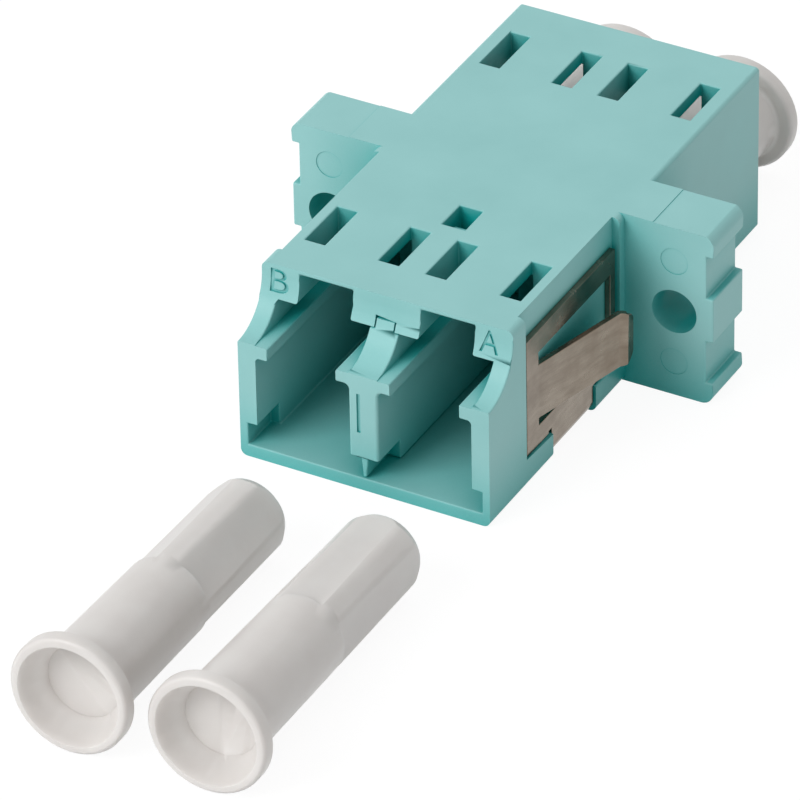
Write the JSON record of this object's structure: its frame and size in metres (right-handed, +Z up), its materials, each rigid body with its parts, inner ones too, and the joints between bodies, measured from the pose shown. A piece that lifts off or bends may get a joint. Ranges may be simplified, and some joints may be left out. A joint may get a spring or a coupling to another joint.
{
  "type": "fibre optic coupler",
  "caption": "Panel-mount coupler that joins paired fibre plugs end to end in split sleeves, with a screw flange, a folded spring clip and push-in dust caps.",
  "frame": {"origin": "midway between the two screw holes, on the flange's front face", "axes": "-Y out of the front ports and through the screw holes, +Y towards the capped rear ports, +X towards port A, +Z up"},
  "size_m": [0.022, 0.0558, 0.0092],
  "materials": {
    "aqua_moulding": "satin moulded plastic",
    "aqua_insert": "satin moulded plastic",
    "zirconia": "ground ceramic",
    "clip_steel": "rolled sheet",
    "cap_plastic": "milky soft plastic"
  },
  "bodies": {
    "coupler": {"housing": "aqua_moulding", "sleeve_retainer": "aqua_insert", "alignment_sleeve_a": "zirconia", "alignment_sleeve_b": "zirconia", "mounting_clip": "clip_steel", "dust_cap_front_a": "cap_plastic", "dust_cap_front_b": "cap_plastic"},
    "rear_cap_a": {"dust_cap_rear_a": "cap_plastic"},
    "rear_cap_b": {"dust_cap_rear_b": "cap_plastic"}
  },
  "joints": [
    {"name": "rear_cap_a_pull", "type": "slide", "parent": "coupler", "child": "rear_cap_a", "axis": [0, 1, 0], "range_m": [0, 0.016]},
    {"name": "rear_cap_b_pull", "type": "slide", "parent": "coupler", "child": "rear_cap_b", "axis": [0, 1, 0], "range_m": [0, 0.016]}
  ]
}
